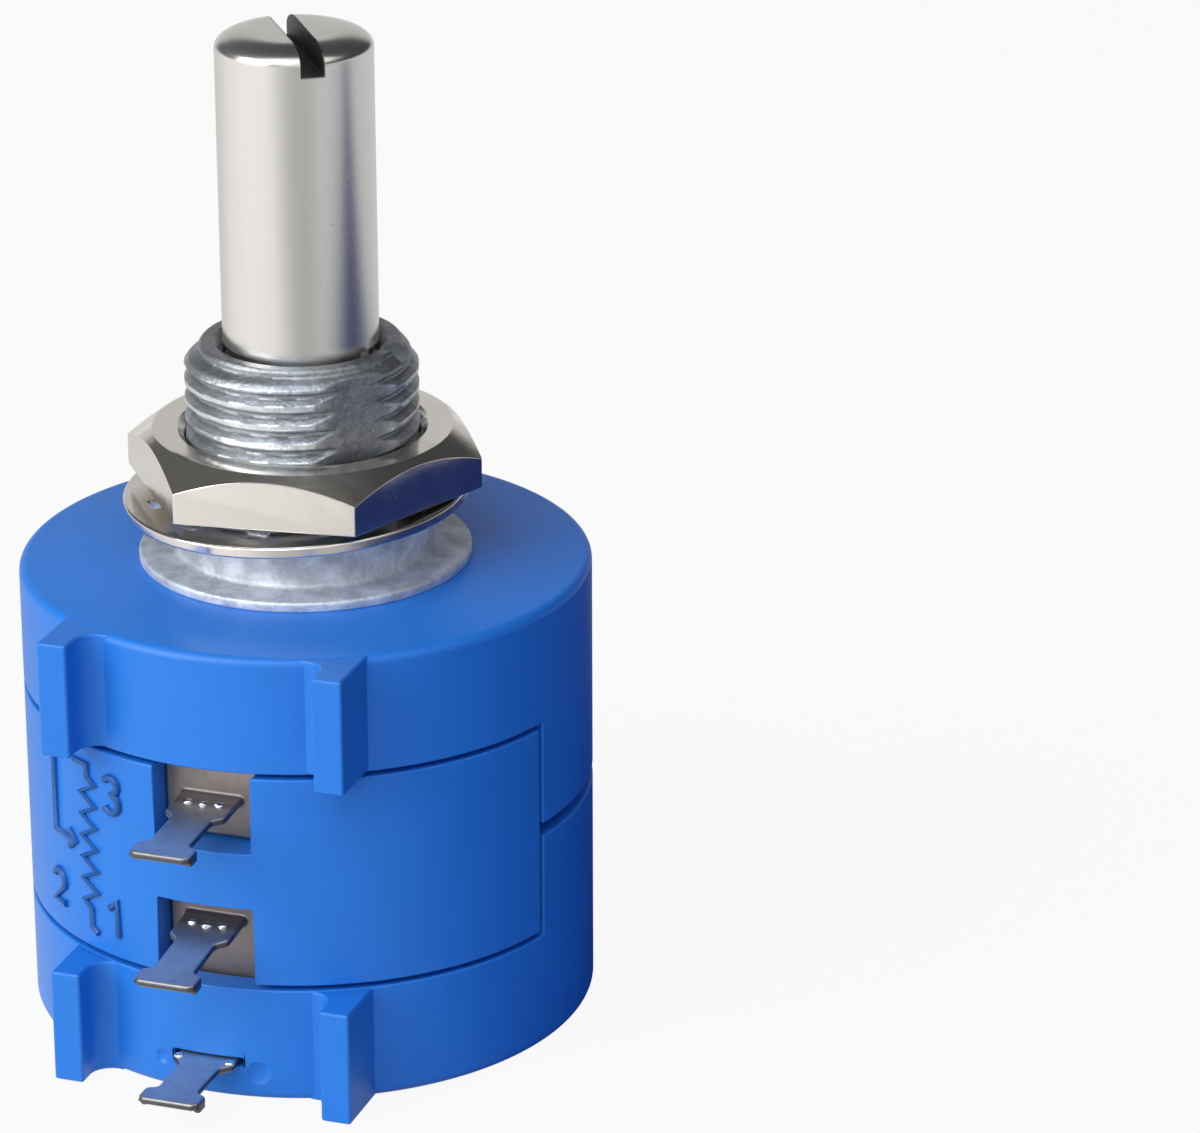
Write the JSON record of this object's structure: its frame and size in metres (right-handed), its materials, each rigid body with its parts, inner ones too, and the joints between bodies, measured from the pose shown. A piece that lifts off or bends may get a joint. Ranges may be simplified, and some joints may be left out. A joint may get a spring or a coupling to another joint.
{
  "type": "multiturn potentiometer",
  "caption": "Panel-mount ten-turn wirewound potentiometer: blue round body, three solder lugs, threaded bushing with nut and washer, slotted shaft.",
  "frame": {"origin": "centre of the rear face", "axes": "+Z along the shaft towards its free end; the three solder lugs point towards -Y"},
  "size_m": [0.0222, 0.0262, 0.0391],
  "materials": {
    "cover_plastic": "moulded, satin",
    "cast_zinc": "rough die-cast",
    "shaft_steel": "turned, satin",
    "bright_plating": "bright nickel plate",
    "tinned_sheet": "tinned",
    "resistance_wire": "wound wire",
    "rotor_plastic": "moulded",
    "carriage_plastic": "moulded",
    "contact_metal": "gold flashed",
    "spring_steel": "plain"
  },
  "bodies": {
    "housing": {"front_cover": "cover_plastic", "rear_cover": "cover_plastic", "element_case": "cover_plastic", "bushing": "cast_zinc", "terminal_ccw": "tinned_sheet", "terminal_cw": "tinned_sheet", "terminal_wiper": "tinned_sheet", "resistance_element": "resistance_wire", "brush_spring": "contact_metal"},
    "spindle": {"shaft": "shaft_steel", "rotor": "rotor_plastic", "collector_rod": "contact_metal", "slip_ring": "contact_metal", "retaining_ring": "spring_steel", "spring_washer": "spring_steel", "thrust_washer": "spring_steel"},
    "carriage": {"contact_carriage": "carriage_plastic", "wiper_contact": "contact_metal"},
    "washer": {"lock_washer": "bright_plating"},
    "nut": {"hex_nut": "bright_plating"}
  },
  "joints": [
    {"name": "shaft_spin", "type": "hinge", "parent": "housing", "child": "spindle", "pos_m": [0, 0, 0.02], "axis": [0, 0, 1], "range_deg": [-1800, 1800]},
    {"name": "carriage_travel", "type": "slide", "parent": "spindle", "child": "carriage", "axis": [0, 0, 1], "range_m": [-0.0046, 0.0046]},
    {"name": "nut_spin", "type": "hinge", "parent": "washer", "child": "nut", "pos_m": [0, 0, 0.022], "axis": [0, 0, 1], "range_deg": [0, 1600]},
    {"name": "washer_lift", "type": "slide", "parent": "housing", "child": "washer", "axis": [0, 0, 1], "range_m": [0, 0.0033]}
  ],
  "couplings": [
    {"joint": "carriage_travel", "follows": "shaft_spin", "m_per_rad": 0.00014324},
    {"joint": "nut_spin", "follows": "washer_lift", "rad_per_m": 8377.6}
  ]
}
